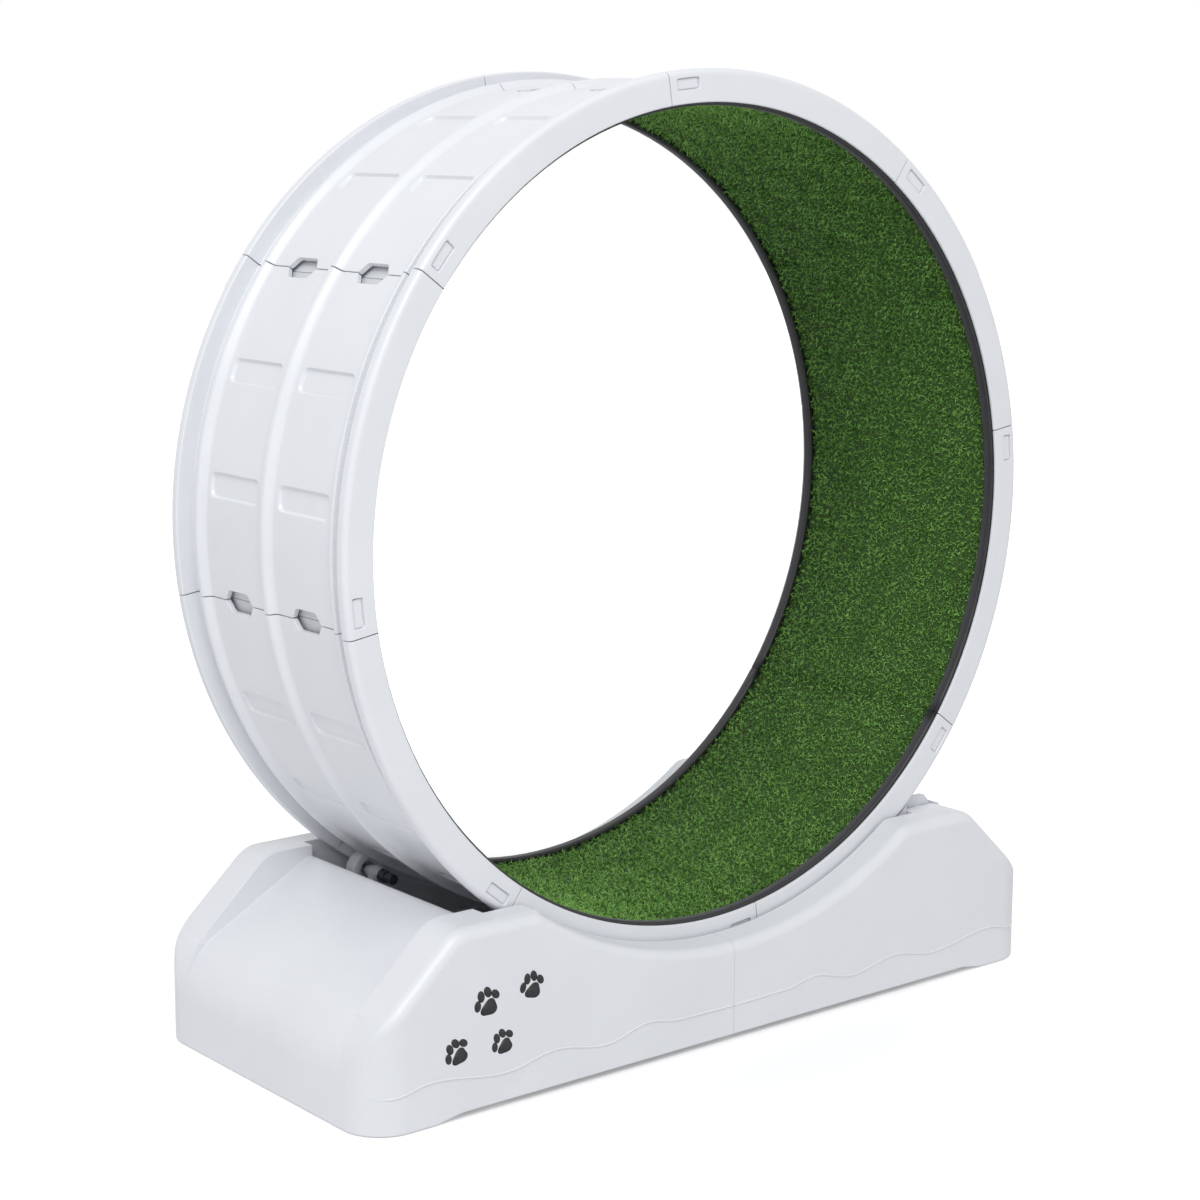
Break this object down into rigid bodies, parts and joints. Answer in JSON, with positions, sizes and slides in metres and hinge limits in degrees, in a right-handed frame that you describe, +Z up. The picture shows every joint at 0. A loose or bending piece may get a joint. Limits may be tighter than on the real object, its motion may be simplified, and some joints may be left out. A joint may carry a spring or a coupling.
{
  "type": "cat exercise wheel",
  "caption": "Free-standing running wheel for a cat: moulded segmented ring with a turf floor, resting on rollers in a low two-part base.",
  "frame": {"origin": "on the floor under the middle of the wheel and base", "axes": "+Z up, Y along the wheel's axis with the front towards -Y, X along the base"},
  "size_m": [1.01, 0.43, 1.098],
  "materials": {
    "ring_plastic": "semi-gloss moulded",
    "floor_plastic": "satin",
    "turf": "cut pile",
    "trim_rubber": "matt",
    "roller_plastic": "semi-gloss",
    "steel": "zinc plated",
    "dark_plastic": "satin",
    "bracket_plastic": "satin",
    "base_plastic": "semi-gloss moulded",
    "plate_steel": "zinc plated",
    "foot_rubber": "matt"
  },
  "bodies": {
    "wheel": {"edge_trim_front": "trim_rubber", "edge_trim_rear": "trim_rubber", "floor_panel_1": "floor_plastic", "floor_panel_2": "floor_plastic", "floor_panel_3": "floor_plastic", "floor_panel_4": "floor_plastic", "floor_panel_5": "floor_plastic", "floor_panel_6": "floor_plastic", "floor_panel_7": "floor_plastic", "floor_panel_8": "floor_plastic", "floor_screws": "steel", "turf_mat": "turf", "wheel_segment_1": "ring_plastic", "wheel_segment_2": "ring_plastic", "wheel_segment_3": "ring_plastic", "wheel_segment_4": "ring_plastic", "wheel_segment_5": "ring_plastic", "wheel_segment_6": "ring_plastic", "wheel_segment_7": "ring_plastic", "wheel_segment_8": "ring_plastic"},
    "roller_front_left": {"roller_tyre_front_left": "roller_plastic", "bearing_race_front_left": "steel", "bearing_balls_front_left": "steel"},
    "roller_front_right": {"roller_tyre_front_right": "roller_plastic", "bearing_race_front_right": "steel", "bearing_balls_front_right": "steel"},
    "roller_rear_left": {"roller_tyre_rear_left": "roller_plastic", "bearing_race_rear_left": "steel", "bearing_balls_rear_left": "steel"},
    "roller_rear_right": {"roller_tyre_rear_right": "roller_plastic", "bearing_race_rear_right": "steel", "bearing_balls_rear_right": "steel"},
    "slide": {"stop_slide": "base_plastic"},
    "base": {"base_half_left": "base_plastic", "base_half_right": "base_plastic", "bearing_inner_races": "steel", "bolt_caps": "dark_plastic", "bracket_screws": "steel", "joining_plate": "plate_steel", "joining_screws": "steel", "roller_bolts": "steel", "roller_bracket_front_left": "bracket_plastic", "roller_bracket_front_right": "bracket_plastic", "roller_bracket_rear_left": "bracket_plastic", "roller_bracket_rear_right": "bracket_plastic", "roller_nuts": "dark_plastic", "roller_washers": "steel", "rubber_feet": "foot_rubber", "stop_guide": "base_plastic"}
  },
  "joints": [
    {"name": "wheel_spin", "type": "hinge", "parent": "base", "child": "wheel", "pos_m": [0, 0, 0.598], "axis": [0, 1, 0], "continuous": true},
    {"name": "roller_front_left_spin", "type": "hinge", "parent": "base", "child": "roller_front_left", "pos_m": [-0.26249, -0.14675, 0.16798], "axis": [0, 1, 0], "continuous": true},
    {"name": "roller_front_right_spin", "type": "hinge", "parent": "base", "child": "roller_front_right", "pos_m": [0.26249, -0.14675, 0.16798], "axis": [0, 1, 0], "continuous": true},
    {"name": "roller_rear_left_spin", "type": "hinge", "parent": "base", "child": "roller_rear_left", "pos_m": [-0.26249, 0.14675, 0.16798], "axis": [0, 1, 0], "continuous": true},
    {"name": "roller_rear_right_spin", "type": "hinge", "parent": "base", "child": "roller_rear_right", "pos_m": [0.26249, 0.14675, 0.16798], "axis": [0, 1, 0], "continuous": true},
    {"name": "stop_slide_travel", "type": "slide", "parent": "base", "child": "slide", "axis": [-1, 0, 0], "range_m": [-0.0027, 0.0005]}
  ],
  "couplings": [
    {"joint": "roller_front_left_spin", "follows": "wheel_spin", "ratio": -20.426},
    {"joint": "roller_front_right_spin", "follows": "wheel_spin", "ratio": -20.426},
    {"joint": "roller_rear_left_spin", "follows": "wheel_spin", "ratio": -20.426},
    {"joint": "roller_rear_right_spin", "follows": "wheel_spin", "ratio": -20.426}
  ]
}
